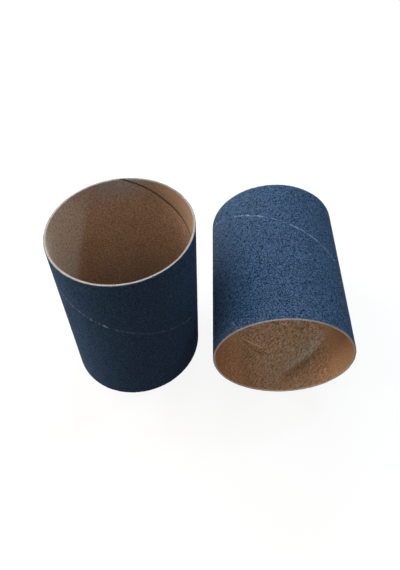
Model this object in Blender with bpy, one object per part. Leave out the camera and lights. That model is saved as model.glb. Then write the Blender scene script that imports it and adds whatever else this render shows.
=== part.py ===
"""A pair of spiral-wound sanding sleeves for a spindle sander: one stands on end, one lies on its side.

Each sleeve is three plies on one axis. A kraft paper strip is wound into a liner, an abrasive cloth strip is wound
over it the other way, and the cloth carries a coat of grit. The wound tube is sawn square at both ends.
Units are metres, +Z is up, and the sleeves rest on z = 0.
"""

import math

import bmesh
import bpy

# Driving dimensions of one sleeve
BORE_DIAMETER = 0.0742
SLEEVE_LENGTH = 0.1016
LINER_THICKNESS = 0.00045
CLOTH_THICKNESS = 0.00030
GRIT_THICKNESS = 0.00030
GLUE_LINE = 0.00010

# Butt seams: the open width square to the seam, and the way each strip climbs, +1 for a right-hand helix
LINER_SEAM_GAP = 0.00050
WRAP_SEAM_GAP = 0.00050
LINER_HAND = 1
WRAP_HAND = -1

# Each strip's seam: its rise in one turn, and its height on the sleeve's local +X side
STANDING_LINER_PITCH = 0.0972
STANDING_LINER_SEAM_HEIGHT = 0.0759
STANDING_WRAP_PITCH = 0.1120
STANDING_WRAP_SEAM_HEIGHT = 0.0375
LYING_LINER_PITCH = 0.1062
LYING_LINER_SEAM_HEIGHT = 0.1042
LYING_WRAP_PITCH = 0.1150
LYING_WRAP_SEAM_HEIGHT = 0.0609

# Where the lying sleeve is, seen from the standing one: to the right and further back
SLEEVE_SPACING = 0.0094
LYING_SETBACK = 0.0136

# Facets round one turn, a multiple of four so that the lying sleeve rests on an edge
FACETS_PER_TURN = 96
SAW_MARGIN = 0.004

# Radii of the plies, from the bore outwards
LINER_RADIUS = BORE_DIAMETER / 2
CLOTH_RADIUS = LINER_RADIUS + LINER_THICKNESS + GLUE_LINE
GRIT_RADIUS = CLOTH_RADIUS + CLOTH_THICKNESS + GLUE_LINE
OUTER_RADIUS = GRIT_RADIUS + GRIT_THICKNESS

# Colours are linear RGB
KRAFT_BROWN = (0.36, 0.21, 0.12)
CLOTH_BEIGE = (0.55, 0.50, 0.43)
GRIT_BLUE = (0.045, 0.085, 0.155)


def clear_scene():
    for found in list(bpy.data.objects):
        bpy.data.objects.remove(found)


def make_collection(name):
    made = bpy.data.collections.new(name)
    bpy.context.scene.collection.children.link(made)
    return made


def make_material(name, colour, roughness):
    made = bpy.data.materials.new(name)
    made.use_nodes = True
    shader = made.node_tree.nodes["Principled BSDF"]
    shader.inputs["Base Color"].default_value = (*colour, 1.0)
    shader.inputs["Roughness"].default_value = roughness
    shader.inputs["Metallic"].default_value = 0.0
    return made


def seam_rise(seam_gap, pitch, radius):
    """A seam's open width along the axis, from its width square to the seam."""
    return seam_gap / math.cos(math.atan2(pitch, math.tau * radius))


def wind_strip(inner_radius, thickness, pitch, seam_height, seam_gap, hand):
    """Mesh of a strip wound past both ends of the sleeve, as it leaves the mandrel before it is sawn."""
    half_gap = seam_rise(seam_gap, pitch, inner_radius) / 2
    first = math.floor(-(seam_height + pitch) / pitch * FACETS_PER_TURN)
    last = math.ceil((SLEEVE_LENGTH - seam_height) / pitch * FACETS_PER_TURN)
    facet_angle = hand * math.tau / FACETS_PER_TURN
    facet_rise = pitch / FACETS_PER_TURN

    start_angle = first * facet_angle
    low = seam_height + first * facet_rise + half_gap
    high = low + pitch - 2 * half_gap
    corners = [(inner_radius, low), (inner_radius + thickness, low)]
    corners += [(inner_radius + thickness, high), (inner_radius, high)]

    strip = bmesh.new()
    points = [strip.verts.new((r * math.cos(start_angle), r * math.sin(start_angle), z)) for r, z in corners]
    end_face = strip.faces.new(points)
    steps = last - first
    bmesh.ops.spin(
        strip,
        geom=[end_face],
        axis=(0, 0, 1),
        dvec=(0, 0, facet_rise),
        angle=facet_angle * steps,
        steps=steps,
    )
    bmesh.ops.recalc_face_normals(strip, faces=strip.faces)
    mesh = bpy.data.meshes.new("strip")
    strip.to_mesh(mesh)
    strip.free()
    return mesh


def least_seam_gap(radius, pitch, seam_gap):
    """Shortest distance between points on a strip's lower edge and on its upper edge one turn earlier."""
    half_gap = seam_rise(seam_gap, pitch, radius) / 2

    def edge_point(angle, offset):
        return radius * math.cos(angle), radius * math.sin(angle), pitch * angle / math.tau + offset

    point = edge_point(0, half_gap)
    reach = FACETS_PER_TURN // 8
    finer = 20
    angles = [k * math.tau / FACETS_PER_TURN / finer for k in range(-reach * finer, reach * finer + 1)]
    return min(math.dist(point, edge_point(angle, -half_gap)) for angle in angles)


def make_saw(collection):
    """The length of tube between the two saw cuts, as a cutter."""
    bpy.ops.mesh.primitive_cylinder_add(
        vertices=FACETS_PER_TURN,
        radius=OUTER_RADIUS + SAW_MARGIN,
        depth=SLEEVE_LENGTH,
        location=(0, 0, SLEEVE_LENGTH / 2),
    )
    saw = bpy.context.object
    saw.name = "saw"
    for linked in saw.users_collection:
        linked.objects.unlink(saw)
    collection.objects.link(saw)
    saw.hide_render = True
    saw.display_type = "WIRE"
    return saw


def make_ply(name, collection, parent, saw, material, strip):
    """One wound strip, sawn to the sleeve's length, as a named piece on the sleeve's axis."""
    mesh = wind_strip(**strip)
    mesh.materials.append(material)
    ply = bpy.data.objects.new(name, mesh)
    collection.objects.link(ply)
    cut = ply.modifiers.new("saw cuts", "BOOLEAN")
    cut.operation = "INTERSECT"
    cut.object = saw
    mesh.shade_smooth()
    mesh.set_sharp_from_angle(angle=math.radians(30))
    evaluated = ply.evaluated_get(bpy.context.evaluated_depsgraph_get())
    sawn = bpy.data.meshes.new_from_object(evaluated)
    ply.modifiers.clear()
    ply.data = sawn
    bpy.data.meshes.remove(mesh)
    ply.parent = parent
    gap = least_seam_gap(strip["inner_radius"], strip["pitch"], strip["seam_gap"])
    print(f"{name}: least gap to itself {gap * 1000:.2f} mm")
    return ply


def make_axis(name, collection, location, tilt):
    """The empty that a sleeve's plies hang on: its local Z is the sleeve's axis, from the lower end."""
    axis = bpy.data.objects.new(name, None)
    axis.location = location
    axis.rotation_euler = (tilt, 0, 0)
    collection.objects.link(axis)
    return axis


def make_sleeve(prefix, collection, axis, saw, materials, liner_seam, wrap_seam):
    """The three plies of one sleeve. A seam is its pitch and its height on the local +X side."""
    liner = {"pitch": liner_seam[0], "seam_height": liner_seam[1], "seam_gap": LINER_SEAM_GAP, "hand": LINER_HAND}
    wrap = {"pitch": wrap_seam[0], "seam_height": wrap_seam[1], "seam_gap": WRAP_SEAM_GAP, "hand": WRAP_HAND}
    plies = {
        "kraft_liner": {"inner_radius": LINER_RADIUS, "thickness": LINER_THICKNESS, **liner},
        "cloth_backing": {"inner_radius": CLOTH_RADIUS, "thickness": CLOTH_THICKNESS, **wrap},
        "grit_coat": {"inner_radius": GRIT_RADIUS, "thickness": GRIT_THICKNESS, **wrap},
    }
    for ply, strip in plies.items():
        make_ply(f"{prefix}_{ply}", collection, axis, saw, materials[ply], strip)


def main():
    clear_scene()
    parts = make_collection("sanding_sleeves")
    cutters = make_collection("cutters")
    materials = {
        "kraft_liner": make_material("kraft_paper", KRAFT_BROWN, 0.75),
        "cloth_backing": make_material("cotton_cloth", CLOTH_BEIGE, 0.90),
        "grit_coat": make_material("blue_grit", GRIT_BLUE, 0.85),
    }
    saw = make_saw(cutters)

    # The origin is under the middle of the pair's box
    half_spread = OUTER_RADIUS + SLEEVE_SPACING / 2
    front = min(-OUTER_RADIUS, LYING_SETBACK - SLEEVE_LENGTH / 2)
    back = max(OUTER_RADIUS, LYING_SETBACK + SLEEVE_LENGTH / 2)
    standing_y = -(front + back) / 2
    lying_y = standing_y + LYING_SETBACK

    standing_axis = make_axis("standing_axis", parts, (-half_spread, standing_y, 0), 0)
    lying_place = (half_spread, lying_y + SLEEVE_LENGTH / 2, OUTER_RADIUS)
    lying_axis = make_axis("lying_axis", parts, lying_place, math.pi / 2)
    make_sleeve(
        "standing",
        parts,
        standing_axis,
        saw,
        materials,
        (STANDING_LINER_PITCH, STANDING_LINER_SEAM_HEIGHT),
        (STANDING_WRAP_PITCH, STANDING_WRAP_SEAM_HEIGHT),
    )
    make_sleeve(
        "lying",
        parts,
        lying_axis,
        saw,
        materials,
        (LYING_LINER_PITCH, LYING_LINER_SEAM_HEIGHT),
        (LYING_WRAP_PITCH, LYING_WRAP_SEAM_HEIGHT),
    )


main()
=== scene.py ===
# Looks of a pair of spiral-wound sanding sleeves: one stands on end, one lies with its mouth to the viewer.
# A sleeve is a kraft liner, a cloth backing and a coat of blue grit, with loose fibres where they were cut.
import math

import bpy
import numpy as np
from mathutils import Matrix, Vector


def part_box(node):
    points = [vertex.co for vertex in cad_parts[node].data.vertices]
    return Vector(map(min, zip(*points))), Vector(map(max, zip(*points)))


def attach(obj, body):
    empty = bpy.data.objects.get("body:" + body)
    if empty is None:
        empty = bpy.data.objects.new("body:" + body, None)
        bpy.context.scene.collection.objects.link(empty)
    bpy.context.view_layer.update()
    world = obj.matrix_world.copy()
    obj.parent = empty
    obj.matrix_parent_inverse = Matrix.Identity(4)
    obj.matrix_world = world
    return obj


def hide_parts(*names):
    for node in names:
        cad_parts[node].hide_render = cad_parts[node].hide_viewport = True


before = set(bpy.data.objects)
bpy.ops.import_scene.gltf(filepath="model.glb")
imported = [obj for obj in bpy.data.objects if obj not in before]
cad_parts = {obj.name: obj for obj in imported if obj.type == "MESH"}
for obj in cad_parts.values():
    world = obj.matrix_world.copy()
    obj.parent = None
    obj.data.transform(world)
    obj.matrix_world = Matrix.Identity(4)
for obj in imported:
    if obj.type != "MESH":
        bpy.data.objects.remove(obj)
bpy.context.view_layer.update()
mm = 0.001
turn = math.tau

wholeTurn = (0, 180, 12)  # a stretch of the turn is (middle, half, fade) in degrees

# Each sleeve is out of round by a share of its radius towards an angle. "dullRim" and "fades" are a stretch of
# the turn and the share lost there. A seam climbs by its pitch in one turn, left-hand where that is negative,
# and is at height "at" on the local +X side. "open" is half of its gap, which gapes more about one height
# (height mm, reach mm, by mm). "lip" is how far the paper lifts at the seam and "stain" how dark it is there.
# "pale" is how worn the wrap's seam is, and how much that comes and goes.
standing = {
    "name": "standing", "body": "standing_sleeve", "lies": False, "seed": 41,
    "oval": 0.0226, "ovalTo": math.radians(55),
    "dullRim": (90, 38, 22, 0.75),
    "linerSeam": {
        "pitch": 97.2 * mm, "at": 75.9 * mm, "open": 0.42 * mm, "gape": (102, 14, 0.28), "lip": 0.12 * mm,
        "stain": 0.60,
    },
    "wrapSeam": {
        "pitch": -112.0 * mm, "at": 37.5 * mm, "open": 0.014 * mm, "ragged": 0.014 * mm,
        "pale": (0.55, 0.30), "fades": (-180, 12, 20, 0.3),
    },
}
lying = {
    "name": "lying", "body": "lying_sleeve", "lies": True, "seed": 73,
    "oval": 0.0170, "ovalTo": 0.0,
    "dullRim": (90, 30, 30, 0.0),
    "linerSeam": {
        "pitch": 106.2 * mm, "at": 104.2 * mm, "open": 0.012 * mm, "gape": (75.6, 1.3, 0.32),
        "lip": 0.03 * mm, "stain": 0.06,
    },
    "wrapSeam": {
        "pitch": -115.0 * mm, "at": 60.9 * mm, "open": 0.014 * mm, "ragged": 0.016 * mm,
        "pale": (0.95, 0.30), "fades": (165, 25, 22, 0.7),
    },
}

# Thicknesses, from outside in; there is a glue line on each side of the cloth
plies = {"grit": 0.30 * mm, "glue": 0.10 * mm, "cloth": 0.30 * mm, "liner": 0.45 * mm}


def measureSleeve(sleeve):
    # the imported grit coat's box gives the tube's radius, length and place; local Z is the tube's axis
    low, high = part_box(sleeve["name"] + "_grit_coat")
    middle = (low + high) / 2
    outer = (high.x - low.x) / 2
    sleeve["outer"] = outer
    sleeve["gritBack"] = outer - plies["grit"]
    sleeve["linerBack"] = outer - plies["grit"] - plies["glue"] * 2 - plies["cloth"]
    sleeve["bore"] = sleeve["linerBack"] - plies["liner"]
    if sleeve["lies"]:  # from the back end to the mouth, along -Y, on the floor
        sleeve["long"] = high.y - low.y
        sleeve["foot"] = (middle.x, high.y, low.z + outer * (1 - sleeve["oval"]))
        sleeve["axes"] = np.array(((1, 0, 0), (0, 0, -1), (0, 1, 0)))
    else:
        sleeve["long"] = high.z - low.z
        sleeve["foot"] = (middle.x, middle.y, low.z)
        sleeve["axes"] = np.eye(3)


measureSleeve(standing)
measureSleeve(lying)
print("sleeves measured")


def place(sleeve, radius, angle, z):
    # cylinder to frame: r = radius * (1 + oval * cos 2(angle - ovalTo)), x = r cos angle, y = r sin angle, z
    r = radius * (1 + sleeve["oval"] * np.cos(2 * (angle - sleeve["ovalTo"])))
    local = np.stack(np.broadcast_arrays(r * np.cos(angle), r * np.sin(angle), z), -1)
    return local @ sleeve["axes"].T + np.array(sleeve["foot"])


def bell(offset, reach):
    # exp(-(offset / reach)^2): 1 in the middle, about a third at the reach
    return np.exp(-(offset / reach) ** 2)


def ripple(rng, angle, z, mostTurns, wave, count=16):
    # sum of cos(k * angle + q * z + phase) over random whole k and random q, so that it closes round the tube
    k = rng.integers(0, mostTurns + 1, count)
    q = rng.normal(0, turn / wave, count)
    phase = rng.uniform(0, turn, count)
    return sum(np.cos(a * angle + b * z + c) for a, b, c in zip(k, q, phase)) / math.sqrt(count / 2)


def roughLine(rng, count, *parts):
    # random heights along a line: a sum of parts (spread, reach), averaged over reach points each way
    line = 0
    for spread, reach in parts:
        window = np.hanning(2 * reach + 3)[1:-1]
        heights = rng.normal(size=count + 2 * reach)
        smooth = np.convolve(heights, window / math.sqrt((window ** 2).sum()), "same")
        line = line + spread * smooth[reach:reach + count]
    return line


def soften(field, times):
    # each pass averages a grid with its neighbours along both directions, and the spread is put back to 1
    for _ in range(times):
        padded = np.pad(field, 1, mode="edge")
        beside = padded[:-2, 1:-1] + padded[2:, 1:-1] + padded[1:-1, :-2] + padded[1:-1, 2:]
        field = (padded[1:-1, 1:-1] * 2 + beside) / 6
    return field / field.std()


def patchy(values, even, change, most):
    # even + change * values, kept between 0 and most
    return np.clip(even + change * values, 0, most)


def turnedFrom(angle, start):
    # the angle from start, taken the short way round
    return np.mod(angle - start + math.pi, turn) - math.pi


def within(angle, middle, half, fade):
    # 1 inside a stretch of the turn, in degrees, falling evenly to 0 over the fade at its two ends
    off = np.degrees(np.abs(turnedFrom(angle, math.radians(middle))))
    return np.clip((half + fade - off) / fade, 0, 1)


def fromLine(angle, z, radius, line):
    # distance on the unrolled tube to a straight mark between two ends, given as degrees and mm, and the share
    # of the mark's length at which it is nearest
    a0, z0, a1, z1 = math.radians(line[0]), line[1] * mm, math.radians(line[2]), line[3] * mm
    x = radius * turnedFrom(angle, a0)
    y = z - z0
    dx, dy = radius * (a1 - a0), z1 - z0
    share = np.clip((x * dx + y * dy) / (dx * dx + dy * dy), 0, 1)
    return np.hypot(x - share * dx, y - share * dy), share


def fromSeam(seam, angle, z, radius):
    # distance square to the nearest turn of a strip's seam: (z - height of the seam at this angle) * cos slant
    height = seam["at"] + seam["pitch"] * angle / turn
    rise = abs(seam["pitch"])
    apart = np.mod(z - height + rise / 2, rise) - rise / 2
    return apart * math.cos(math.atan2(rise, turn * radius))


# The grid of a wound strip: a face leans over two rows so that it is square on the slant, the plain back keeps
# every fourth column, edges past an angle are sharp, and the saw's mark reaches a little way from a cut
sheetGrid = {"lean": 2, "thin": 4, "sharp": math.radians(48), "sawn": 0.12 * mm}

# The bake map: the face fills most of the square, the back and four walls have bands at its foot (low, tall)
bakeMargin = 0.004
bakeBands = {
    "face": (0.115, 0.880), "back": (0.004, 0.030), "start": (0.042, 0.010), "end": (0.058, 0.010),
    "foot": (0.074, 0.012), "top": (0.092, 0.012),
}


def layStrip(sleeve, seam, radius, cell):
    # a wound strip unrolled: rows go round the tube at even heights, columns go along the strip between its two
    # seam edges; its width is the turn's length times sin slant
    slant = math.atan2(abs(seam["pitch"]), turn * radius)
    width = turn * radius * math.sin(slant)
    columns = sheetGrid["thin"] * round(width / cell / sheetGrid["thin"])
    rows = round(sleeve["long"] / (cell * math.cos(slant) / sheetGrid["lean"]))
    return {
        "sleeve": sleeve, "seam": seam, "radius": radius, "slant": slant, "width": width,
        "hand": math.copysign(1, seam["pitch"]),
        "z": np.linspace(0, sleeve["long"], rows + 1),
        "across": np.linspace(0, 1, columns + 1),
    }


def windStrip(strip, gapAfter, gapBefore):
    # angle = hand * (turns the seam has made at z + the seam's open half + a share of what is left of the turn)
    opened = 1 / (strip["radius"] * math.sin(strip["slant"]))
    made = (strip["z"] - strip["seam"]["at"]) / abs(strip["seam"]["pitch"]) * turn
    left = turn - (gapAfter + gapBefore) * opened
    angle = strip["hand"] * ((made + gapAfter * opened)[:, None] + strip["across"][None, :] * left[:, None])
    strip["angle"] = angle
    strip["high"] = np.broadcast_to(strip["z"][:, None], angle.shape)
    nearer = np.minimum(strip["across"], 1 - strip["across"])
    strip["edge"] = np.broadcast_to(nearer * strip["width"], angle.shape)  # distance from the seam edges
    strip["cut"] = np.minimum(strip["high"], strip["sleeve"]["long"] - strip["high"])  # and from the cuts


def leanFaces(ids, lean):
    # a quad joins row i of one column to row i - lean of the next, and fans fill what is left at both cuts
    left, right, last = ids[:, :-1], ids[:, 1:], len(ids) - 1
    quads = np.stack((left[lean:-1], right[:-1 - lean], right[1:last + 1 - lean], left[lean + 1:]), -1)
    fans = [np.stack((right[0], left[k + 1], left[k]), -1) for k in range(lean)]
    fans += [np.stack((left[last], right[last - k - 1], right[last - k]), -1) for k in range(lean)]
    return quads.reshape(-1, 4), np.concatenate(fans)


def cutWall(fine, coarse):
    # fans that close a cut: each step of the back's coarse row takes up four steps of the face's fine row
    thin, near, far = sheetGrid["thin"], coarse[:-1], coarse[1:]
    fans = []
    for k in range(thin):
        fans.append(np.stack((fine[k + 1::thin], fine[k:-1:thin], near if k < thin / 2 else far), -1))
    fans.append(np.stack((near, far, fine[thin // 2::thin]), -1))
    return np.concatenate(fans)


def sheetFaces(top, under, turnOver):
    # the faces of a closed sheet by their band of the bake map: shown face, plain back and four walls
    lean, thin = sheetGrid["lean"], sheetGrid["thin"]
    quads, fans = leanFaces(top, lean)
    underQuads, underFans = leanFaces(under, lean * thin)
    groups = [
        ("face", quads),
        ("face", fans),
        ("back", underQuads[:, ::-1]),
        ("back", underFans[:, ::-1]),
        ("start", np.stack((top[:-1, 0], top[1:, 0], under[1:, 0], under[:-1, 0]), -1)),
        ("end", np.stack((top[1:, -1], top[:-1, -1], under[:-1, -1], under[1:, -1]), -1)),
        ("foot", cutWall(top[0], under[0])),
        ("top", cutWall(top[-1], under[-1])[:, ::-1]),
    ]
    return [(band, ids[:, ::-1] if turnOver else ids) for band, ids in groups]


def writeMap(mesh, name, corners):
    # one place on the map for each corner of each face
    layer = mesh.uv_layers.new(name=name)
    layer.data.foreach_set("uv", corners.reshape(-1).astype(np.float32))


def closeStrip(name, strip, face, back, outward, marks, zShift):
    # a closed sheet between its shown face and its plain back, r = face(angle, z) and r = back, walled at its
    # seam edges and cuts. Its first map is in metres along and across the strip, its second is the bake map.
    sleeve, angle, high = strip["sleeve"], strip["angle"], strip["high"]
    thin = sheetGrid["thin"]
    z = high + zShift
    faceAt = place(sleeve, face, angle, z)
    backAt = place(sleeve, back, angle[:, ::thin], z[:, ::thin])
    points = np.concatenate((faceAt.reshape(-1, 3), backAt.reshape(-1, 3)))
    top = np.arange(angle.size).reshape(angle.shape)
    under = angle.size + np.arange(backAt.size // 3).reshape(len(angle), -1)
    groups = sheetFaces(top, under, (strip["hand"] > 0) != outward)

    def both(values):  # on the face, then on the columns that the back keeps
        return np.concatenate((values.reshape(-1), values[:, ::thin].reshape(-1)))

    column = both(np.broadcast_to(strip["across"], angle.shape))
    row = both(high) / sleeve["long"]
    depth = np.repeat((0.0, 1.0), (top.size, under.size))
    arc = both(angle) * strip["radius"]
    cosine, sine = math.cos(strip["slant"]), math.sin(strip["slant"]) * strip["hand"]
    along = np.stack((arc * cosine + both(high) * sine, both(high) * cosine - arc * sine), -1)

    mesh = bpy.data.meshes.new(sleeve["name"] + "_" + name)
    mesh.from_pydata(points.tolist(), [], sum((ids.tolist() for band, ids in groups), []))
    loops = np.concatenate([ids.reshape(-1) for band, ids in groups])
    writeMap(mesh, "strip", along[loops])
    baked = []
    for band, ids in groups:
        low, tall = bakeBands[band]
        used = ids.reshape(-1)
        run = row if band in ("start", "end") else column
        level = row if band in ("face", "back") else depth
        baked.append(np.stack((bakeMargin + (1 - 2 * bakeMargin) * run[used], low + tall * level[used]), -1))
    writeMap(mesh, "OFBake", np.concatenate(baked))

    *stretch, lost = sleeve["dullRim"]
    sawn = bell(strip["cut"], sheetGrid["sawn"]) * (1 - lost * within(angle, *stretch))
    values = {mark: both(np.broadcast_to(value, angle.shape)) for mark, value in marks.items()}
    values.update(cutEnd=both(sawn), underside=depth)
    for mark, value in values.items():
        attribute = mesh.attributes.new(mark, "FLOAT", "POINT")
        attribute.data.foreach_set("value", value.astype(np.float32))
    mesh.shade_smooth()
    mesh.set_sharp_from_angle(angle=sheetGrid["sharp"])
    print(mesh.name, len(mesh.polygons), "faces")
    return mesh


def show(data):
    # a mesh, lamp or camera as an object of the same name in the scene
    shown = bpy.data.objects.new(data.name, data)
    bpy.context.scene.collection.objects.link(shown)
    return shown


def dress(mesh, sleeve, material, node=None):
    # the mesh as a piece that rides on its sleeve's body, and stands for its CAD node where it has one
    piece = show(mesh)
    mesh.materials.append(material)
    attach(piece, sleeve["body"])
    if node:
        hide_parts(sleeve["name"] + "_" + node)


class Flow:
    # an output socket of a material: + - * and / on it add Math nodes, and make() adds any other node
    def __init__(self, tree, socket=None):
        self.tree = tree
        self.socket = socket

    def make(self, kind, settings=None, sockets=None, output=0):
        node = self.tree.nodes.new("ShaderNode" + kind)
        for key, value in (settings or {}).items():
            if key == "stops":  # (place, colour) along a ramp
                ramp = node.color_ramp.elements
                while len(ramp) < len(value):
                    ramp.new(0.5)
                for stop, (at, colour) in zip(ramp, value):
                    stop.position = at
                    stop.color = rgba(colour)
            else:
                setattr(node, key, value)
        for key, value in (sockets or {}).items():
            if isinstance(value, Flow):
                self.tree.links.new(value.socket, node.inputs[key])
            else:
                node.inputs[key].default_value = value
        return Flow(self.tree, node.outputs[output] if node.outputs else None)

    def maths(self, operation, first, second):
        return self.make("Math", {"operation": operation}, {0: first, 1: second})

    def __add__(self, other):
        return self.maths("ADD", self, other)

    def __sub__(self, other):
        return self.maths("SUBTRACT", self, other)

    def __rsub__(self, other):
        return self.maths("SUBTRACT", other, self)

    def __mul__(self, other):
        return self.maths("MULTIPLY", self, other)

    def __truediv__(self, other):
        return self.maths("DIVIDE", self, other)

    __radd__ = __add__
    __rmul__ = __mul__

    def between(self, low, high, share=None):  # a soft step from 0 at low to 1, or to a share, at high
        step = self.make("MapRange", {"interpolation_type": "SMOOTHSTEP"}, {0: self, 1: low, 2: high})
        return step if share is None else step * share

    def mix(self, first, second, share):  # colours
        return self.make("Mix", {"data_type": "RGBA"}, {0: share, 6: rgba(first), 7: rgba(second)}, 2)

    def ramp(self, stops):  # a colour from a value
        return self.make("ValToRGB", {"stops": stops}, {0: self})

    def stretch(self, sizes):  # coordinates, each divided by the size of its pattern
        return self.make("VectorMath", {"operation": "DIVIDE"}, {0: self, 1: (*sizes, 1)})

    def mark(self, name):
        return self.make("Attribute", {"attribute_name": name}, output="Fac")

    def noise(self, where, scale, detail=2.0, roughness=0.5):
        sockets = {"Vector": where, "Scale": scale, "Detail": detail, "Roughness": roughness}
        return self.make("TexNoise", {}, sockets, "Fac")

    def sine(self, cycles):  # 0 to 1 and back in each cycle
        return self.maths("SINE", cycles * turn, 0.0) * 0.5 + 0.5

    def sheet(self):  # metres along and across a wound strip
        return self.make("UVMap", {"uv_map": "strip"})

    def split(self, where):  # the first two coordinates
        return [self.make("SeparateXYZ", {}, {0: where}, part) for part in (0, 1)]

    def join(self, first, second):
        return self.make("CombineXYZ", {}, {0: first, 1: second})

    def seenDirectly(self):  # 1 to the eye, in a reflection and through glass
        seen = self.make("LightPath", output="Is Camera Ray")
        for ray in ("Is Glossy Ray", "Is Transmission Ray"):
            seen = seen + self.make("LightPath", output=ray)
        return seen.between(0.0, 1.0)


def rgba(colour):  # a colour with its alpha of 1
    return colour if isinstance(colour, Flow) else (*colour, 1)


def newMaterial(name, look):
    # a Principled material with its even settings on their own sockets
    material = bpy.data.materials.new(name)
    material.use_nodes = True
    shader = material.node_tree.nodes["Principled BSDF"]
    for key, value in look["even"].items():
        shader.inputs[key].default_value = value
    return material, Flow(material.node_tree), shader


def finish(flow, shader, look, colour, pattern, height):
    # what changes over the surface: its colour, roughness = even + change * pattern, and its bump
    even, change = look["rough"]
    strength, distance = look["bump"]
    bump = flow.make("Bump", {}, {"Height": height, "Strength": strength, "Distance": distance})
    for key, value in (("Base Color", colour), ("Roughness", even + change * pattern), ("Normal", bump)):
        flow.tree.links.new(value.socket, shader.inputs[key])


# Blue grit: sharp grains under half a millimetre apart, rubbed pale along the seam and bare of grit in a few
# chips. A mask is (low, high, share): a pattern has no effect below low and its share above high. In every
# finish "even" holds what is the same all over, "rough" is (even, change) and "bump" is (strength, distance).
gritFinish = {
    "even": {"Specular IOR Level": 0.035}, "grain": 0.31 * mm, "fine": 0.24 * mm, "patchScale": 70.0,
    "deep": (0.005, 0.012, 0.032), "blue": (0.046, 0.090, 0.171), "light": (0.104, 0.190, 0.338),
    # glint is the pale colour of painted highlights on a few grains
    "paintedGlint": (0.30, 0.36, 0.43), "worn": (0.30, 0.39, 0.52), "bare": (0.56, 0.70, 0.90),
    "contrast": (2.70, 0.30),  # from grain to grain, and of the dust on them
    # painted shade in the hollows between the grains
    "hollowShade": (0.45, 0.85, 0.45),  # deep between the grains
    # the few grains that get painted glints
    "paintedGlints": (0.965, 0.99, 0.35),  # few grains
    "paintedGlintDust": (0.42, 0.62),
    "dimPatches": (0.56, 0.80, 0.22),
    "wornDust": (1.5, 0.20, 0.10, 0.55),  # what wear leaves of the dust: times, less, low, high
    "rough": (0.70, 0.25),
    "relief": (0.6, 0.55, 0.3),  # of a grain's crown, of its own height and of the dust
    "bump": (1.0, 0.30 * mm),
}


def blueGrit(look):
    # tone = middle + (grain's own tone * contrast + dust * contrast) * crisp, then one tint after another
    material, flow, shader = newMaterial("blueGrit", look)
    where = flow.make("TexCoord", output="Object")
    cells = {"Vector": where, "Scale": 1 / look["grain"]}
    grains = flow.make("TexVoronoi", {}, cells, "Distance")
    kind = flow.make("TexVoronoi", {}, cells, "Color")
    pick = flow.make("SeparateColor", {}, {"Color": kind}, "Red")
    shine = flow.make("SeparateColor", {}, {"Color": kind}, "Green")
    dust = flow.noise(where, 1 / look["fine"], 2.0, 0.6)
    patch = flow.noise(where, look["patchScale"], 3.0)

    own, dusted = look["contrast"]
    # grain contrast, which on the lying sleeve also paints the shading of its grains
    tone = 0.5 + ((pick - 0.5) * own + (dust - 0.5) * dusted) * flow.mark("crisp")
    colour = tone.ramp(((0.0, look["deep"]), (0.5, look["blue"]), (1.0, look["light"])))
    # painted shade between the grains
    colour = flow.mix(colour, look["deep"], grains.between(*look["hollowShade"]))
    # painted glints on a few grains
    colour = flow.mix(colour, look["paintedGlint"], dust.between(*look["paintedGlintDust"]) * shine.between(*look["paintedGlints"]))
    colour = flow.mix(colour, look["deep"], patch.between(*look["dimPatches"]))
    times, less, low, high = look["wornDust"]
    colour = flow.mix(colour, look["worn"], flow.mark("worn") * (dust * times - less).between(low, high))
    colour = flow.mix(colour, look["bare"], flow.mark("bare"))

    crown, step, fine = look["relief"]
    finish(flow, shader, look, colour, pick, (1 - grains) * crown + pick * step + dust * fine)
    return material


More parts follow.
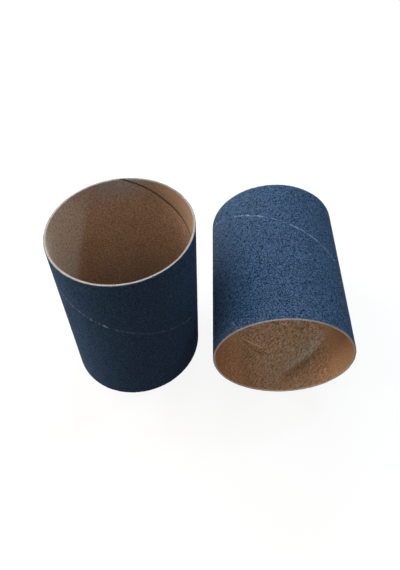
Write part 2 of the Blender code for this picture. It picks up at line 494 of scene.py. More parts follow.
# Kraft paper: short fibres and flecks, faint streaks up the tube, and a crepe across the strip where it was
# rolled hard, whose shading is painted into the colour as well. Patterns have their size in metres, along and
# across where there are two. The grain entries say how a mark breaks up on the specks (share, even). The two
# palettes are lit and shaded copies of one paper: the lying one is more orange and its sawn end far paler as
# painted light, and the standing one's sawn end darker as painted shade.
kraftFinish = {
    "even": {"Specular IOR Level": 0.20, "Sheen Weight": 0.04, "Sheen Roughness": 0.5},
    "standing": {
        "dark": (0.235, 0.150, 0.098), "brown": (0.470, 0.300, 0.196), "tan": (0.640, 0.440, 0.300),
        # grey is the colour of painted light and sheen, and this darker sawn end is painted shade
        "grey": (0.60, 0.56, 0.50), "sawn": (0.36, 0.31, 0.26),
    },
    "lying": {
        "dark": (0.240, 0.130, 0.068), "brown": (0.560, 0.298, 0.150), "tan": (0.740, 0.446, 0.252),
        # grey is the colour of painted light and sheen, and this paler sawn end is painted light
        "grey": (0.600, 0.505, 0.375), "sawn": (0.86, 0.78, 0.70),
    },
    # fold is the near-black of painted shade in folds and in the seam's gap, and dust the bluish grey of a
    # painted reflection
    "fold": (0.035, 0.022, 0.014), "dust": (0.38, 0.41, 0.45),
    "slant": math.radians(24),  # of the strip on the tube
    "lean": math.radians(56),  # of the crepe's strokes
    "specks": 1.30 * mm, "fibres": (2.6 * mm, 0.60 * mm), "streaks": (0.9 * mm, 9.0 * mm),
    "patches": 9 * mm, "flecks": (2.9 * mm, 2.2 * mm), "fleckEdge": (0.06, 0.16), "fleckShare": 0.45,
    "wrinkles": (0.9 * mm, 3.3 * mm), "wrinkleEdge": (0.37, 0.63), "rib": 2.1 * mm, "thread": 1.05 * mm,
    "sway": 2.2, "folds": (2.0 * mm, 3.8 * mm), "foldEdge": (0.0, 0.16),
    "crepe": (0.60, 0.16, 0.34, 0.34),  # shares of wrinkles, ribs, threads and folds
    # crepeShade paints the crepe's shading into the colour
    "crepeMiddle": 0.84, "crepeShade": 0.80,
    "contrast": (1.20, 0.45, 0.60, 0.30),  # of specks, fibres, streaks and patches
    "lightGrain": (0.6, 0.45), "shadeGrain": (0.8, 0.2), "sawnGrain": (0.6, 0.65), "mottleEdge": (0.40, 0.60),
    "mottleShade": 0.26, "rough": (0.66, 0.20),
    "relief": (0.5, 0.6, 2.2),  # of fibres, specks and crepe
    "bump": (0.50, 0.18 * mm),
}


def turned(u, v, angle):
    # a pair of coordinates turned by an angle: u cos - v sin, u sin + v cos
    return u * math.cos(angle) - v * math.sin(angle), u * math.sin(angle) + v * math.cos(angle)


def kraftPaper(name, sleeve, look):
    # tone = middle + each pattern's share, then the marks' tints, most of them painted light, sheen, reflection
    # and shade, and the crepe's painted shading and a mottle over all
    look = dict(look, **look[sleeve])
    material, flow, shader = newMaterial(name, look)
    sheet = flow.sheet()
    along, across = flow.split(sheet)
    hoop, upward = turned(along, across, look["slant"])  # round the tube and up it
    specks = flow.noise(sheet, 1 / look["specks"], 2.0, 0.7)
    fibres = flow.noise(sheet.stretch(look["fibres"]), 1.0, 3.0, 0.62)
    streaks = flow.noise(flow.join(hoop, upward).stretch(look["streaks"]), 1.0, 2.0, 0.6)
    patch = flow.noise(sheet, 1 / look["patches"], 3.0)
    flecks = flow.make("TexVoronoi", {}, {"Vector": sheet.stretch(look["flecks"]), "Scale": 1.0}, "Distance")

    sway = (patch - 0.5) * look["sway"]
    down, over = turned(hoop, upward, look["lean"])  # along the crepe's strokes and square to them
    strokes = flow.join(over, down)
    wrinkles = flow.noise(strokes.stretch(look["wrinkles"]), 1.0, 2.0, 0.6).between(*look["wrinkleEdge"])
    ribs = flow.sine(over / look["rib"] + sway)
    threads = flow.sine(down / look["thread"] - sway)
    cells = {"Vector": strokes.stretch(look["folds"]), "Scale": 1.0}
    edges = flow.make("TexVoronoi", {"feature": "DISTANCE_TO_EDGE"}, cells, "Distance")
    creping = zip((wrinkles, ribs, threads, edges.between(*look["foldEdge"])), look["crepe"])
    crepe = sum(pattern * share for pattern, share in creping)
    pressed = flow.mark("pressed")

    def broken(mark, grain):  # a mark that breaks up on the specks
        share, even = look[grain]
        return flow.mark(mark) * (specks * share + even)

    patterns = zip((specks, fibres, streaks, patch), look["contrast"])
    tone = 0.5 + sum((pattern - 0.5) * share for pattern, share in patterns)
    colour = tone.ramp(((0.12, look["dark"]), (0.50, look["brown"]), (0.90, look["tan"])))
    colour = flow.mix(colour, look["dark"], (1 - flecks.between(*look["fleckEdge"])) * look["fleckShare"])
    # painted light and sheen in grey, painted shade (with the seam's stain) in dark, and a painted bluish
    # reflection
    colour = flow.mix(colour, look["grey"], broken("rubbed", "lightGrain"))
    colour = flow.mix(colour, look["dark"], broken("soiled", "shadeGrain"))
    colour = flow.mix(colour, look["dust"], broken("dusty", "lightGrain"))
    mottle = specks.between(*look["mottleEdge"])
    # the crepe's painted shading, and a random mottle
    shade = 1 + (crepe - look["crepeMiddle"]) * pressed * look["crepeShade"]
    shade = shade + (mottle - 0.5) * look["mottleShade"]
    colour = flow.make("VectorMath", {"operation": "SCALE"}, {0: colour, "Scale": shade})
    # painted highlights in tan and near-black painted shade, on folds and in the seam's gap
    colour = flow.mix(colour, look["tan"], flow.mark("raised"))
    colour = flow.mix(colour, look["fold"], flow.mark("dented"))
    colour = flow.mix(colour, look["sawn"], broken("cutEnd", "sawnGrain"))

    long, short, creased = look["relief"]
    finish(flow, shader, look, colour, fibres, fibres * long + specks * short + crepe * pressed * creased)
    return material


# Cotton cloth: beige threads both ways, pale where it was sawn, dull in spots and dark with glue underneath.
# The lying sleeve's copy has a far paler sawn rim, which is painted light.
clothFinish = {
    "even": {"Specular IOR Level": 0.25, "Sheen Weight": 0.15},
    "thread": 0.42 * mm, "lint": 0.5 * mm, "spots": 0.9 * mm,
    # the lying sleeve's far paler rim colour is painted light
    "beige": (0.40, 0.37, 0.33), "pale": {"standing": (0.44, 0.43, 0.415), "lying": (0.70, 0.68, 0.66)},
    "dull": (0.17, 0.145, 0.12), "glue": (0.030, 0.018, 0.012),
    "paleShares": (0.7, 0.4),  # on the crowns of the weave, and with the lint
    "sawnLint": (0.25, 0.6), "dullSpots": (0.52, 0.66, 0.6), "glueShare": 0.92, "rough": (0.84, 0.12),
    "lintRelief": 0.6, "bump": (0.4, 0.10 * mm),
}


def cottonCloth(name, sleeve, look):
    # weave = sine along the strip and sine across it, with lint over both
    pale = look["pale"][sleeve]
    material, flow, shader = newMaterial(name, look)
    sheet = flow.sheet()
    warp, weft = [flow.sine(part / look["thread"]) for part in flow.split(sheet)]
    lint = flow.noise(sheet, 1 / look["lint"], 3.0, 0.6)
    spots = flow.noise(sheet, 1 / look["spots"], 2.0, 0.7)
    crowns, linted = look["paleShares"]
    colour = flow.mix(look["beige"], pale, (warp * weft) * crowns + lint * linted)
    colour = flow.mix(colour, pale, flow.mark("cutEnd") * lint.between(*look["sawnLint"]))
    colour = flow.mix(colour, look["dull"], spots.between(*look["dullSpots"]))
    glued = flow.mark("underside") * (1 - flow.mark("cutEnd")) * look["glueShare"]
    colour = flow.mix(colour, look["glue"], glued)
    finish(flow, shader, look, colour, lint, warp + weft + lint * look["lintRelief"])
    return material


materials = {
    "grit": blueGrit(gritFinish),
    "standingCloth": cottonCloth("cottonCloth", "standing", clothFinish),
    "lyingCloth": cottonCloth("paleRimCottonCloth", "lying", clothFinish),
    "standingLiner": kraftPaper("kraftPaper", "standing", kraftFinish),
    "lyingLiner": kraftPaper("pressedKraftPaper", "lying", kraftFinish),
}
print("materials:", ", ".join(materials))

# Grit coat: displaced grains, edges that crumble at the seam and at both cuts, where a narrow band is chipped
# off at the foot and the top. "crisp" is how much the grains differ in tone; on the lying sleeve it is far
# higher, as painted shading of the grains under raking light. Chips on the seam are (angle degrees, half length
# mm, how bare), and scuffs are (angle degrees and height mm of both ends, how worn).
gritCoat = {
    "cell": 0.56 * mm, "grain": 0.034 * mm, "clump": 0.012 * mm, "sunk": 0.07 * mm, "round": 0.06 * mm,
    "roundSeam": 0.35 * mm, "roundCut": 0.30 * mm, "crumble": 0.10 * mm, "crumbleReach": 0.8 * mm,
    "wornSeam": 0.34 * mm,
    "wornCut": 2.6,  # per mm that is chipped off
    "chipWidth": 0.46 * mm, "chipDepth": 0.03 * mm, "scuffWidth": 0.36 * mm, "scuffDepth": 0.04 * mm,
    "grainLimits": (-2.2, 1.8), "clumpLimits": (-2, 1.5), "leastGap": 0.008 * mm,
    "raggedness": ((0.7, 2), (0.6, 14)), "comesAndGoes": ((1.0, 5), (0.5, 40)),  # spread, reach in points
    "crumbs": (160, 40),  # most turns, how many waves
    "wornBits": (0.45, 0.75, 1.5), "cutBits": (0.6, 0.6, 1.4),  # even, change, most
    "chipBits": (0.75, 0.75, 1.3), "scuffBits": (0.8, 0.6, 1.0),
    "standing": {
        "crisp": 0.31, "chipped": (0.02 * mm, 0.07 * mm),
        "chips": (
            (-137.4, 0.6, 0.80), (-117.5, 0.4, 0.45), (-112.2, 0.5, 1.20), (-105.6, 0.4, 0.40),
            (-101.2, 0.9, 2.00), (-92.9, 0.4, 0.30), (-81.1, 0.7, 0.20), (-64.0, 0.5, 0.20), (-34.2, 0.6, 0.60),
            (-48.0, 0.5, 0.20), (-24.5, 0.9, 0.45), (20.0, 0.9, 0.60), (74.0, 1.2, 0.80), (141.0, 0.8, 0.40)),
        "scuffs": ((-128.0, 60.0, -122.0, 57.5, 0.15),),
    },
    "lying": {
        # this high grain contrast paints in the shading that the grains get under raking light
        "crisp": 1.0, "chipped": (0.06 * mm, 0.20 * mm),
        "chips": (
            (132.2, 0.5, 0.35), (125.6, 0.5, 0.35), (118.7, 0.5, 0.75), (109.0, 0.9, 0.30), (82.0, 0.7, 0.30),
            (76.5, 1.1, 0.30), (69.7, 0.5, 0.30), (63.3, 0.5, 0.25), (-20.0, 0.9, 0.50), (160.0, 0.8, 0.40)),
        "scuffs": ((139.6, 94.4, 134.6, 101.0, 0.50), (124.2, 45.2, 114.7, 43.4, 0.15)),
    },
}


def makeGritCoat(sleeve, spec):
    # r = outer - sunk + grains + clumps - rounding at seam and cuts, and the cuts crumble by a ripple
    rng = np.random.default_rng(sleeve["seed"] + 1)
    seam, outer, own = sleeve["wrapSeam"], sleeve["outer"], spec[sleeve["name"]]
    strip = layStrip(sleeve, seam, outer, spec["cell"])
    count = len(strip["z"])
    gaps = []
    for _ in range(2):  # both sides of the seam, each with its own ragged edge
        ragged = seam["ragged"] * roughLine(rng, count, *spec["raggedness"])
        gaps.append(np.maximum(seam["open"] + ragged, spec["leastGap"]))
    windStrip(strip, *gaps)
    angle, high, edge, cut = strip["angle"], strip["high"], strip["edge"], strip["cut"]
    grains = rng.normal(size=angle.shape)
    clumps = soften(rng.normal(size=angle.shape), 3)
    face = outer - spec["sunk"] + spec["grain"] * np.clip(grains, *spec["grainLimits"])
    face = face + spec["clump"] * np.clip(clumps, *spec["clumpLimits"])
    face = face - spec["round"] * (bell(edge, spec["roundSeam"]) + bell(cut, spec["roundCut"]))

    low = high < sleeve["long"] / 2
    chipped = np.where(low, *own["chipped"])
    mostTurns, waves = spec["crumbs"]
    crumbs = spec["crumble"] * np.abs(ripple(rng, angle, 0, mostTurns, 1, waves))
    shift = (chipped + crumbs) * bell(cut, spec["crumbleReach"]) * np.where(low, 1, -1)

    level, change = seam["pale"]
    comes = patchy(roughLine(rng, count, *spec["comesAndGoes"]), level, change, 1)
    *stretch, lost = seam["fades"]
    worn = comes[:, None] * (1 - lost * within(angle, *stretch)) * bell(edge, spec["wornSeam"])
    worn = worn * patchy(rng.normal(size=angle.shape), *spec["wornBits"])
    sawn = chipped / mm * spec["wornCut"] * bell(cut, spec["roundCut"])
    worn = worn + sawn * patchy(grains, *spec["cutBits"])
    bits = patchy(rng.normal(size=angle.shape), *spec["chipBits"])
    bare = np.zeros_like(angle)
    fromEdge = fromSeam(seam, angle, high, outer)
    for at, long, share in own["chips"]:
        run = outer * turnedFrom(angle, math.radians(at)) / math.cos(strip["slant"])
        chip = bell(run, long * mm) * bell(fromEdge, spec["chipWidth"])
        bare = np.maximum(bare, share * chip * bits)
        face = face - spec["chipDepth"] * share * chip
    for *line, share in own["scuffs"]:
        scuff = bell(fromLine(angle, high, outer, line)[0], spec["scuffWidth"])
        worn = worn + share * scuff * patchy(grains, *spec["scuffBits"])
        face = face - spec["scuffDepth"] * scuff

    marks = {"worn": np.clip(worn, 0, 1), "bare": np.clip(bare, 0, 1), "crisp": np.array(own["crisp"])}
    mesh = closeStrip("grit", strip, face, sleeve["gritBack"], True, marks, shift)
    dress(mesh, sleeve, materials["grit"], "grit_coat")


# Cloth backing: fills the wall between liner and grit, so its sawn threads make most of the pale rim
clothBacking = {
    "cell": 1.0 * mm, "bed": 0.012 * mm, "uneven": 0.008 * mm, "open": 0.04 * mm, "frayed": 0.07 * mm,
    "frayReach": 0.20 * mm, "frayLimits": (-0.12 * mm, 0.05 * mm), "leastGap": 0.008 * mm,
    "raggedness": (0.5, 3),  # spread, reach in points
}


def makeClothBacking(sleeve, spec):
    # r = back of the grit - bed - a little noise; threads fray by random lengths at the cuts
    rng = np.random.default_rng(sleeve["seed"] + 2)
    strip = layStrip(sleeve, sleeve["wrapSeam"], sleeve["gritBack"], spec["cell"])
    count = len(strip["z"])
    gaps = [spec["open"] * (1 + roughLine(rng, count, spec["raggedness"])) for _ in range(2)]
    windStrip(strip, *np.maximum(gaps, spec["leastGap"]))
    shape = strip["angle"].shape
    face = sleeve["gritBack"] - spec["bed"] - spec["uneven"] * np.abs(rng.normal(size=shape))
    frayed = spec["frayed"] * rng.normal(size=shape) * bell(strip["cut"], spec["frayReach"])
    frayed = np.clip(frayed, *spec["frayLimits"])
    shift = np.where(strip["high"] < sleeve["long"] / 2, np.maximum(frayed, 0), frayed)
    back = sleeve["linerBack"] + spec["bed"]
    mesh = closeStrip("cloth", strip, face, back, True, {}, shift)
    dress(mesh, sleeve, materials[sleeve["name"] + "Cloth"], "cloth_backing")


# Kraft liner: a slightly wavy wall. The wrap's seam shows through it as a ridge (height mm, widths mm behind
# and before, its plain stretch, share elsewhere). Creases are short folds (angle degrees and height mm of both
# ends, height mm, width mm, painted highlight, painted shade), and wrinkles are finer ones strewn across the
# strip. "pressed" is how strongly the paper is creped (evenly, more on a stretch, times at the mouth and far
# inside). Patches are (mark, share, stretch of the turn, where), and nearly all paint light or shade: one mark
# is paler and greyer as painted light and sheen, one darker as painted shade, one bluish as a painted
# reflection, one tan as a painted highlight and one nearly black as painted shade. Where is a shape by name, or
# a bell (field, middle mm, reach mm).
kraftLiner = {
    "cell": 0.60 * mm, "fibre": 0.010 * mm,
    "waves": ((0.10 * mm, 7, 90 * mm), (0.04 * mm, 22, 20 * mm)),  # crest to trough, most turns, length
    "leastGap": 0.01 * mm, "raggedness": (0.16, 12),  # spread, reach in points
    "lipReach": 0.7 * mm, "stainReach": 0.25 * mm, "cutWave": 0.03 * mm, "cutTurns": 60, "cutReach": 0.4 * mm,
    "ridgeOff": 1.6,  # mm that the ridge lies above the wrap's seam
    "ridgeNarrows": ((-78, -42), (0.35, 1.0)),  # between degrees, shares of its width
    "pressedDepth": (8, 50),
    "standing": {
        "ridge": (0.04, 2.0, 2.0, wholeTurn, 1.0),
        "creases": ((60.0, 30.0, 66.0, 12.0, 0.05, 0.9, 0.05, 0.0),),
        "wrinkles": 0,
        "pressed": (0.22, 0.0, wholeTurn, (1.0, 1.0)),
        "patches": (
            # painted shade below and above the liner's own seam, and near-black painted shade along its gap
            ("soiled", 0.20, (62, 46, 16), "below"),  # either side of its own seam
            ("soiled", 0.55, (30, 46, 20), "above"), ("dented", 0.55, (20, 32, 30), ("edge", 0, 0.25)),
            # painted shade just under the rim on the right and back
            ("soiled", 0.50, (70, 40, 30), ("mouth", 0, 11)), ("soiled", 0.85, (40, 22, 20), ("mouth", 0, 14)),
            # painted shade and a painted bluish reflection just under the rim at the back
            ("soiled", 0.40, (126, 10, 16), ("mouth", 0, 10)), ("dusty", 0.90, (102, 10, 22), ("mouth", 0, 13)),
            # painted shade on the right and back-left walls
            ("soiled", 0.28, (58, 32, 24), "all"), ("soiled", 0.20, (118, 22, 36), "all"),
            # painted light and sheen at the back-left, and painted light on the left wall past a rim's shadow
            # edge
            ("rubbed", 0.20, (118, 22, 36), "all"), ("rubbed", 0.60, (170, 50, 40), "paleSide"),
            # paler towards the foot
            ("rubbed", 0.12, wholeTurn, "foot")),
    },
    "lying": {
        "ridge": (0.70, 5.0, 2.8, (-56, 12, 12), 0.06),
        # the last two columns give each crease a painted highlight and painted shade
        "creases": (
            (-124.5, 67.2, -100.0, 72.0, 0.42, 0.50, 0.95, 0.0),
            (-109.8, 74.5, -101.4, 75.8, -0.25, 0.50, 0.0, 0.80),
            (-93.6, 49.2, -80.8, 53.2, -0.30, 0.42, 0.0, 1.20),
            (-79.0, 53.2, -72.5, 54.8, 0.36, 0.60, 0.90, 0.0),
            (-67.5, 57.6, -56.5, 60.4, -0.18, 0.55, 0.0, 0.55),
            (-98.0, 57.0, -92.0, 63.0, 0.22, 0.70, 0.2, 0.0),
            (-112.0, 60.0, -104.0, 57.0, 0.20, 0.70, 0.2, 0.0)),
        "wrinkles": 70,
        "pressed": (0.18, 0.90, (-78, 40, 14), (0.70, 1.25)),
        "patches": (
            ("rubbed", 0.92, wholeTurn, "ridgeRub"),  # painted sheen in grey on the ridge, with a tail towards the mouth
            # the tail's painted sheen and painted bluish reflection
            ("rubbed", 0.06, wholeTurn, ("tail", 0, 3.0)), ("dusty", 0.12, wholeTurn, ("tail", 0, 3.0)),
            # painted sheen spread above the ridge
            ("rubbed", 0.36, (-72, 22, 22), ("ridge", -8, 9)),
            ("soiled", 0.32, (-52, 30, 12), ("ridge", 2.6, 2.2)),  # painted shade on the slope before it, and its own tail
            # the tail of that painted shade, and painted sheen along the bottom
            ("soiled", 0.20, wholeTurn, ("trail", 0, 3.4)), ("rubbed", 0.08, (-80, 18, 26), "all"),
            # painted light low on the right, and a painted highlight in tan on the right wall
            ("rubbed", 0.20, (-40, 20, 22), "all"), ("raised", 0.55, (-14, 16, 14), "all"),
            # painted shade along the bottom and low on the left
            ("soiled", 0.72, (-90, 30, 16), "all"), ("soiled", 0.22, (-136, 14, 12), "all")),
    },
    "markLimit": 1.4,
    "tail": (-74.0, 83.0, -93.0, 96.0),  # angle degrees and height mm of both ends
    "trail": (-66.0, 86.0, -88.0, 99.0),
    # where the painted sheen lies on the ridge
    "ridgeRub": (-2.8, 4.2),  # middle and reach, mm
    "belowReach": 9, "aboveReach": 30,
    # painted light on the wall below the rim, as far down as a lamp from that angle would reach, with a soft
    # edge
    "paleSide": {"tall": 88 * mm, "from": math.radians(31), "soft": 12 * mm},
    "foot": (1.6, 30 * mm),
}

# Wrinkles: spreads are (middle, spread) or (least, most); "shallow" is where they die away towards the mouth
wrinkle = {
    "angle": (-88, 17), "z": (44, 84), "long": (2.0, 6.0), "lean": (64, 9), "tall": (0.08, 0.24),
    # pale is the painted highlight for each mm of a wrinkle's height, and its painted shade goes with the
    # height
    "wide": 0.60, "pale": 1.6,
    "round": 37.0,  # mm, the radius that they are laid out on
    "shallow": (92, 30, 0.3),
}


def strewWrinkles(rng, count, spec):
    # short folds square to the strip, closest in the middle of the rolled stretch and higher towards the back
    angle = rng.normal(*spec["angle"], count)
    z = rng.uniform(*spec["z"], count)
    long = rng.uniform(*spec["long"], count)
    lean = np.radians(rng.normal(*spec["lean"], count))
    across = np.degrees(long * np.cos(lean) / spec["round"]) / 2
    along = long * np.sin(lean) / 2
    end, fade, least = spec["shallow"]
    height = rng.uniform(*spec["tall"], count) * np.clip((end - z) / fade, least, 1)
    ends = (angle - across, z + along, angle + across, z - along)
    # each wrinkle's painted highlight and painted shade go with its height
    return np.stack((*ends, height, np.full(count, spec["wide"]), spec["pale"] * height, height), -1).tolist()


def makeKraftLiner(sleeve, spec):
    # r = bore - (waves + fibres + ridge + lip at the seam + folds), and each mark is a sum of patches
    rng = np.random.default_rng(sleeve["seed"] + 3)
    seam, bore, own = sleeve["linerSeam"], sleeve["bore"], spec[sleeve["name"]]
    strip = layStrip(sleeve, seam, bore, spec["cell"])
    count = len(strip["z"])
    at, reach, by = seam["gape"]
    opened = seam["open"] + by * mm * bell(strip["z"] - at * mm, reach * mm)
    gaps = [opened * (1 + roughLine(rng, count, spec["raggedness"])) for _ in range(2)]
    windStrip(strip, *np.maximum(gaps, spec["leastGap"]))
    angle, high, edge = strip["angle"], strip["high"], strip["edge"]
    depth = sleeve["long"] - high

    tall, behind, before, stretch, elsewhere = own["ridge"]
    apart = fromSeam(sleeve["wrapSeam"], angle, high, bore) / mm - spec["ridgeOff"]
    plain = elsewhere + (1 - elsewhere) * within(angle, *stretch)
    narrow = np.interp(np.degrees(turnedFrom(angle, 0)), *spec["ridgeNarrows"])
    lift = 0
    for wave, mostTurns, length in spec["waves"]:
        lift = lift + 0.5 * wave * ripple(rng, angle, high, mostTurns, length)
    lift = lift + spec["fibre"] * soften(rng.normal(size=angle.shape), 1)
    lift = lift + tall * mm * bell(apart, np.where(apart < 0, behind * narrow, before)) * plain
    lift = lift + seam["lip"] * bell(edge, spec["lipReach"])

    marks = {mark: np.zeros_like(angle) for mark in ("rubbed", "soiled", "raised", "dented", "dusty")}
    # darker at the seam's edges: a stain there, with painted shade of its gap
    marks["soiled"] += seam["stain"] * bell(edge, spec["stainReach"])
    for *line, height, width, pale, dim in (*own["creases"], *strewWrinkles(rng, own["wrinkles"], wrinkle)):
        off, share = fromLine(angle, high, bore, line)
        fold = bell(off, width * mm) * np.sqrt(np.clip(4 * share * (1 - share), 0, 1))
        lift = lift + height * mm * fold
        # painted highlight and painted shade on each fold
        marks["raised"] += pale * fold
        marks["dented"] += dim * fold

    over = fromSeam(seam, angle, high, bore) / mm  # mm above the liner's own seam
    full, fade = spec["foot"]
    sheenMiddle, sheenReach = spec["ridgeRub"]
    side = spec["paleSide"]
    lit = side["tall"] * -np.cos(angle - side["from"]) - depth  # painted light past the soft slanting edge of a rim's shadow
    shapes = {
        "all": 1.0,
        "below": np.clip(-over, 0, 1) * np.exp(-np.abs(over) / spec["belowReach"]),
        "above": np.clip(over, 0, 1) * np.exp(-np.abs(over) / spec["aboveReach"]),
        "paleSide": np.clip(lit / side["soft"] + 0.5, 0, 1),
        "foot": np.clip(full - high / fade, 0, 1),
        "ridgeRub": bell(apart / narrow - sheenMiddle, sheenReach) * plain,
    }
    fields = {"edge": edge / mm, "mouth": depth / mm, "ridge": apart}
    for line in ("tail", "trail"):
        fields[line] = fromLine(angle, high, bore, spec[line])[0] / mm
    for mark, share, stretch, where in own["patches"]:
        if where in shapes:
            shape = shapes[where]
        else:
            field, middle, reach = where
            shape = bell(fields[field] - middle, reach)
        marks[mark] += share * shape * within(angle, *stretch)

    even, more, stretch, times = own["pressed"]
    creped = np.interp(depth / mm, spec["pressedDepth"], times)
    marks["pressed"] = (even + more * within(angle, *stretch)) * creped
    marks = {mark: np.clip(values, 0, spec["markLimit"]) for mark, values in marks.items()}
    waves = np.abs(ripple(rng, angle, 0, spec["cutTurns"], 1))
    shift = spec["cutWave"] * waves * bell(strip["cut"], spec["cutReach"])
    shift = np.where(high < sleeve["long"] / 2, shift, -shift)
    mesh = closeStrip("liner", strip, bore - lift, sleeve["linerBack"], False, marks, shift)
    dress(mesh, sleeve, materials[sleeve["name"] + "Liner"], "kraft_liner")


for sleeve in (standing, lying):
    makeKraftLiner(sleeve, kraftLiner)
    makeClothBacking(sleeve, clothBacking)
    makeGritCoat(sleeve, gritCoat)
print("plies wound")

# Loose fibres: short tapered threads that stand out of the sawn rims and of the wrap's seam. The first three
# are how many there are. Ranges are (least, most), and "lengths" is a gamma spread that "longLimits" cuts off.
looseFibres = {
    "foot": 120, "top": 360, "seam": 90,
    "long": 0.42 * mm, "lengths": (2.2, 0.45), "longLimits": (0.25, 2.4),
    "onRim": 0.62,  # share of the length
    "thick": 0.030 * mm, "thickness": (0.7, 1.5), "taper": 0.7, "bend": (0.2, 0.9), "bed": 0.05 * mm,
    "clear": 0.5 * mm,  # between the seam's fibres and the cuts
    "stray": 0.003,  # radians from the seam
    "axial": 0.35, "rimOut": 0.25, "seamOut": 0.85, "sideways": 0.7, "leanOut": 0.6, "leanUp": 0.2,
    "rings": 4, "sides": 3, "colour": (0.60, 0.59, 0.57), "shade": 0.62, "lintScale": 900.0,
    "even": {"Specular IOR Level": 0.2, "Sheen Weight": 0.2}, "rough": (0.8, 0.15), "bump": (0.2, 0.05 * mm),
}


def unit(vectors):
    # each vector divided by its length
    return vectors / np.linalg.norm(vectors, axis=-1, keepdims=True)


def makeFibres(sleeve, spec):
    # a thin tube that bends from its root along its lean: p(t) = root + length * (t * way + bend * t^2 * lean)
    rng = np.random.default_rng(sleeve["seed"] + 4)
    rims, seamCount, long = (spec["foot"], spec["top"]), spec["seam"], sleeve["long"]
    seam, gritBack = sleeve["wrapSeam"], sleeve["gritBack"]
    angle = rng.uniform(0, turn, sum(rims))
    ends = np.repeat((0.0, long), rims)
    radius = rng.uniform(sleeve["linerBack"], gritBack, sum(rims))
    outwards = np.repeat((-1.0, 1.0), rims)
    seamZ = rng.uniform(spec["clear"], long - spec["clear"], seamCount)
    seamAngle = (seamZ - seam["at"]) / seam["pitch"] * turn
    angle = np.concatenate((angle, seamAngle + rng.normal(0, spec["stray"], seamCount)))
    z = np.concatenate((ends, seamZ))
    radius = np.concatenate((radius, np.full(seamCount, gritBack - spec["bed"])))
    count = len(angle)
    onRim = np.arange(count) < sum(rims)

    step = 0.1 * mm  # to find the directions at each root
    root = place(sleeve, radius, angle, z)
    out = unit(place(sleeve, radius + step, angle, z) - root)
    side = unit(place(sleeve, radius, angle + step / radius, z) - root)
    up = unit(place(sleeve, radius, angle, z + step) - root)
    spin = rng.normal(size=(count, 3))
    axial = np.concatenate((outwards, rng.normal(0, spec["axial"], seamCount)))[:, None] * up
    radial = np.where(onRim, spec["rimOut"] * spin[:, 0], spec["seamOut"])[:, None] * out
    way = unit(axial + radial + (spec["sideways"] * spin[:, 1])[:, None] * side)
    lean = unit(spin[:, :1] * side + spec["leanOut"] * spin[:, 2:] * out + spec["leanUp"] * up)
    length = spec["long"] * np.clip(rng.gamma(*spec["lengths"], count), *spec["longLimits"])
    length = length * np.where(onRim, spec["onRim"], 1.0)
    wide = spec["thick"] * rng.uniform(*spec["thickness"], count)

    t = np.linspace(0, 1, spec["rings"])[None, :, None]
    bend = rng.uniform(*spec["bend"], count)[:, None, None]
    spine = root[:, None] + length[:, None, None] * (t * way[:, None] + bend * t ** 2 * lean[:, None])
    first = unit(np.cross(way, lean))
    second = np.cross(way, first)
    around = turn * np.arange(spec["sides"]) / spec["sides"]
    ring = np.cos(around)[:, None] * first[:, None] + np.sin(around)[:, None] * second[:, None]
    width = wide[:, None, None, None] * (1 - spec["taper"] * t[..., None])
    points = spine[:, :, None] + width * ring[:, None]
    points[..., 2] = np.maximum(points[..., 2], 0.0)  # none goes through the floor

    ids = np.arange(points.size // 3).reshape(count, spec["rings"], spec["sides"])
    beside = np.roll(ids, -1, axis=2)
    quads = np.stack((ids[:, :-1], beside[:, :-1], beside[:, 1:], ids[:, 1:]), -1).reshape(-1, 4)
    caps = np.concatenate((ids[:, 0, ::-1], ids[:, -1]))
    mesh = bpy.data.meshes.new(sleeve["name"] + "_fibres")
    mesh.from_pydata(points.reshape(-1, 3).tolist(), [], quads.tolist() + caps.tolist())
    mesh.shade_smooth()
    dress(mesh, sleeve, materials["fibre"])
    print(mesh.name, count, "fibres")


def cottonFibre(look):
    # pale lint and a darker shade of it
    material, flow, shader = newMaterial("cottonFibre", look)
    lint = flow.noise(flow.make("TexCoord", output="Object"), look["lintScale"])
    darker = tuple(look["shade"] * part for part in look["colour"])
    finish(flow, shader, look, flow.mix(look["colour"], darker, lint), lint, lint)
    return material


materials["fibre"] = cottonFibre(looseFibres)
for sleeve in (standing, lying):
    makeFibres(sleeve, looseFibres)

# Floor: white to the eye, with a soft shadow, and dark for the light that it throws back on the sleeves
floorLook = {
    "size": 4.0, "lines": 9, "drop": 0.05 * mm,
    "white": 0.86,  # share of the glow, and the rest takes the shadow
    "glow": 1.03, "shadow": (0.92, 0.92, 0.92), "throw": (0.06, 0.06, 0.06),
}


def makeFloor(look):
    # a level square grid: x = u, y = v, z = -drop
    half = look["size"] / 2
    lines = np.linspace(-half, half, look["lines"])
    u, v = np.meshgrid(lines, lines)
    points = np.stack((u, v, np.full_like(u, -look["drop"])), -1)
    ids = np.arange(u.size).reshape(u.shape)
    quads = np.stack((ids[:-1, :-1], ids[:-1, 1:], ids[1:, 1:], ids[1:, :-1]), -1).reshape(-1, 4)
    mesh = bpy.data.meshes.new("floor")
    mesh.from_pydata(points.reshape(-1, 3).tolist(), [], quads.tolist())

    material = bpy.data.materials.new("paleFloor")
    material.use_nodes = True
    nodes = material.node_tree.nodes
    nodes.remove(nodes["Principled BSDF"])
    flow = Flow(material.node_tree)
    glow = flow.make("Emission", {}, {"Color": (1, 1, 1, 1), "Strength": look["glow"]})
    shaded = flow.make("BsdfDiffuse", {}, {"Color": rgba(look["shadow"])})
    shown = flow.make("MixShader", {}, {0: look["white"], 1: shaded, 2: glow})
    thrown = flow.make("BsdfDiffuse", {}, {"Color": rgba(look["throw"])})
    mixed = flow.make("MixShader", {}, {0: flow.seenDirectly(), 1: thrown, 2: shown})
    material.node_tree.links.new(mixed.socket, nodes["Material Output"].inputs["Surface"])
    mesh.materials.append(material)
    show(mesh)


makeFloor(floorLook)

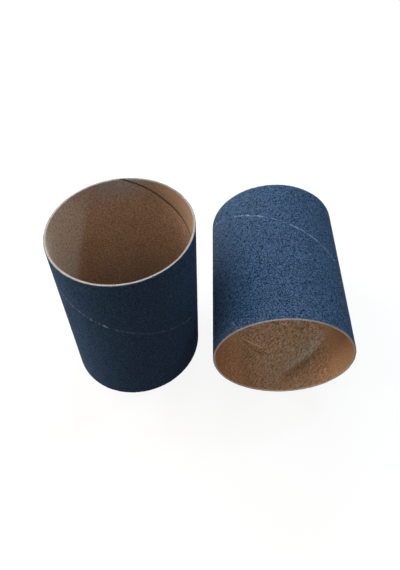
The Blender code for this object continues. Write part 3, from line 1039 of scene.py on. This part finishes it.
# Light: windows from the left round to the back, a skylight, two lamps, and a soft sky brighter overhead.
# "turn" is in degrees from +X, "rise" in degrees up, "size" is wide and tall, and all face one point.
lamps = {
    "sideWindow": {"turn": 190, "rise": 14, "size": (0.3, 0.3), "power": 3.0, "colour": (1.05, 1.0, 0.87)},
    "leftWindow": {"turn": 155, "rise": 30, "size": (0.9, 0.7), "power": 9.4, "colour": (1.22, 0.97, 0.75)},
    "skylight": {"turn": 160, "rise": 58, "size": (0.8, 0.6), "power": 1.9, "colour": (0.60, 0.95, 1.40)},
    "backWindow": {"turn": 86, "rise": 28, "size": (0.5, 0.7), "power": 7.3, "colour": (0.68, 0.96, 1.08)},
    "rightLamp": {"turn": 34, "rise": 53, "size": (0.17, 0.17), "power": 2.6, "colour": (0.72, 1.0, 1.08)},
    "frontFill": {"turn": 260, "rise": 50, "size": (0.6, 0.5), "power": 1.1, "colour": (1.06, 1.0, 0.80)},
}
lampRing = {"away": 1.1, "about": (0, 0, 0.05)}
skyLook = {"light": 0.21, "towards": (0.0, 0.0, 1.0), "lean": 0.35, "colour": (1.22, 1.0, 0.92), "seen": 1.0}


def makeLamp(name, lamp):
    # an area lamp at away * (cos rise cos turn, cos rise sin turn, sin rise) from the middle, facing it
    data = bpy.data.lights.new(name, "AREA")
    data.shape = "RECTANGLE"
    data.size, data.size_y = lamp["size"]
    data.energy = lamp["power"]
    data.color = lamp["colour"]
    around, up = math.radians(lamp["turn"]), math.radians(lamp["rise"])
    away = Vector((math.cos(up) * math.cos(around), math.cos(up) * math.sin(around), math.sin(up)))
    facing = away.to_track_quat("Z", "Y").to_matrix().to_4x4()
    show(data).matrix_world = Matrix.Translation(away * lampRing["away"] + Vector(lampRing["about"])) @ facing


def makeSky(look):
    # strength = light * (1 + lean * upward share of the direction) on the object, and white where it is seen
    world = bpy.data.worlds.new("sky")
    world.use_nodes = True
    bpy.context.scene.world = world
    background = world.node_tree.nodes["Background"]
    flow = Flow(world.node_tree)
    seen = flow.seenDirectly()
    direction = flow.make("TexCoord", output="Generated")
    way = flow.make("VectorMath", {"operation": "DOT_PRODUCT"}, {0: direction, 1: look["towards"]}, "Value")
    light = look["light"] + look["light"] * look["lean"] * way
    tint = flow.mix(look["colour"], (1, 1, 1), seen)
    world.node_tree.links.new(tint.socket, background.inputs["Color"])
    strength = light + (look["seen"] - light) * seen
    world.node_tree.links.new(strength.socket, background.inputs["Strength"])


for name, lamp in lamps.items():
    makeLamp(name, lamp)
makeSky(skyLook)

# Camera: looks down at the pair from the front. Angles are in degrees.
view = {
    "at": (1.306 * mm, -205.16 * mm, 290.47 * mm),
    "yaw": 1.3824, "pitch": -50.6639, "roll": 0.8204, "lens": 33.69, "sensor": 36.0, "nearest": 0.01,
}


def makeCamera(look):
    # level along +Y first, then rolled, pitched and turned
    data = bpy.data.cameras.new("camera")
    data.lens = look["lens"]
    data.sensor_width = look["sensor"]
    data.clip_start = look["nearest"]
    camera = show(data)
    aim = Matrix.Identity(4)
    for degrees, axis in ((look["yaw"], "Z"), (look["pitch"], "X"), (look["roll"], "Y"), (90, "X")):
        aim = aim @ Matrix.Rotation(math.radians(degrees), 4, axis)
    camera.matrix_world = Matrix.Translation(look["at"]) @ aim
    bpy.context.scene.camera = camera


makeCamera(view)
bpy.context.scene.view_settings.view_transform = "Standard"
print("floor, light and camera set")
